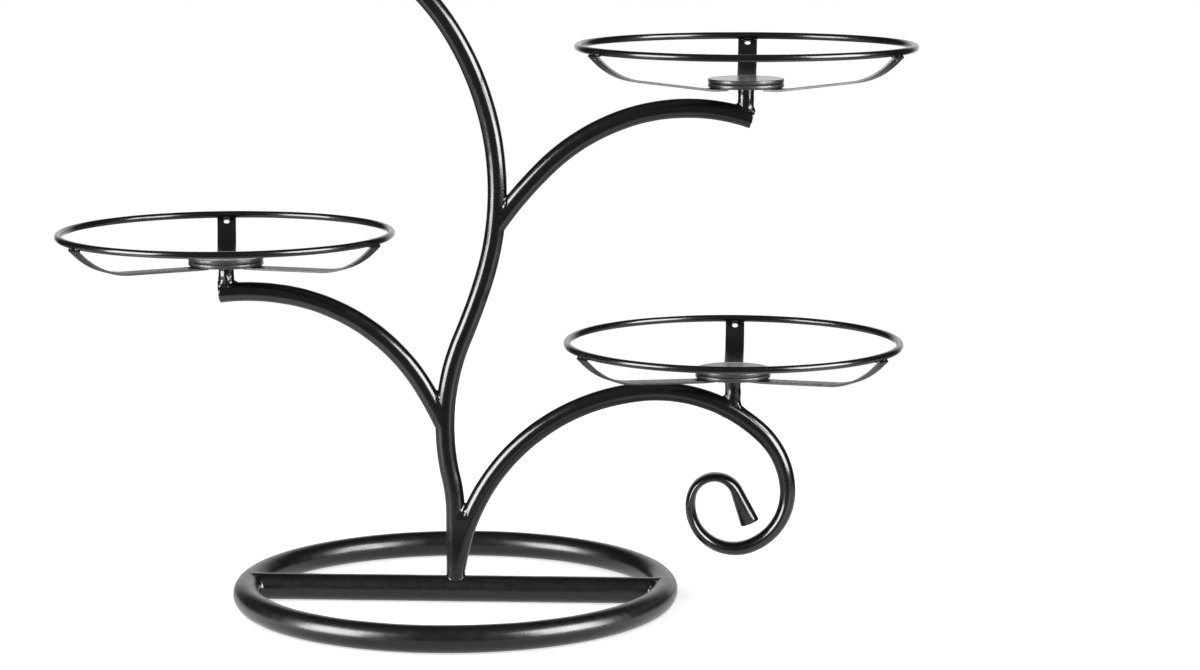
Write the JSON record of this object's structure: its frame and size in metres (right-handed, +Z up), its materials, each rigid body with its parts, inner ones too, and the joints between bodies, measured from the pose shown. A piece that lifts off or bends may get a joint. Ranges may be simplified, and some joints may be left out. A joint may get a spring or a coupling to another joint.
{
  "type": "tiered plant stand",
  "caption": "Free-standing bent tube plant stand: a flat ring base, a winding stem and arched arms that carry round open trays, one arm running on into a flattened scroll.",
  "frame": {"origin": "on the floor under the foot of the stem, at the middle of the base ring", "axes": "+X along the base crossbar towards the arm with the scroll, +Z up, -Y towards the side the picture shows"},
  "size_m": [0.576, 0.301, 0.4958],
  "materials": {
    "powder_coat": "satin black powder coat with a fine texture",
    "disc_coat": "satin black powder coat, smoother on the turned discs"
  },
  "bodies": {
    "root": {"base_ring": "powder_coat", "base_crossbar": "powder_coat", "stem": "powder_coat", "arm_low_right": "powder_coat", "arm_left": "powder_coat", "arm_high_right": "powder_coat", "low_right_post": "powder_coat", "low_right_hub_plate": "powder_coat", "low_right_cap_disc": "disc_coat", "low_right_tray_ring": "powder_coat", "low_right_strap_back": "powder_coat", "low_right_strap_front_left": "powder_coat", "low_right_strap_front_right": "powder_coat", "left_post": "powder_coat", "left_hub_plate": "powder_coat", "left_cap_disc": "disc_coat", "left_tray_ring": "powder_coat", "left_strap_back": "powder_coat", "left_strap_front_left": "powder_coat", "left_strap_front_right": "powder_coat", "high_right_post": "powder_coat", "high_right_hub_plate": "powder_coat", "high_right_cap_disc": "disc_coat", "high_right_tray_ring": "powder_coat", "high_right_strap_back": "powder_coat", "high_right_strap_front_left": "powder_coat", "high_right_strap_front_right": "powder_coat", "top_left_post": "powder_coat", "top_left_hub_plate": "powder_coat", "top_left_cap_disc": "disc_coat", "top_left_tray_ring": "powder_coat", "top_left_strap_back": "powder_coat", "top_left_strap_front_left": "powder_coat", "top_left_strap_front_right": "powder_coat"}
  },
  "joints": []
}
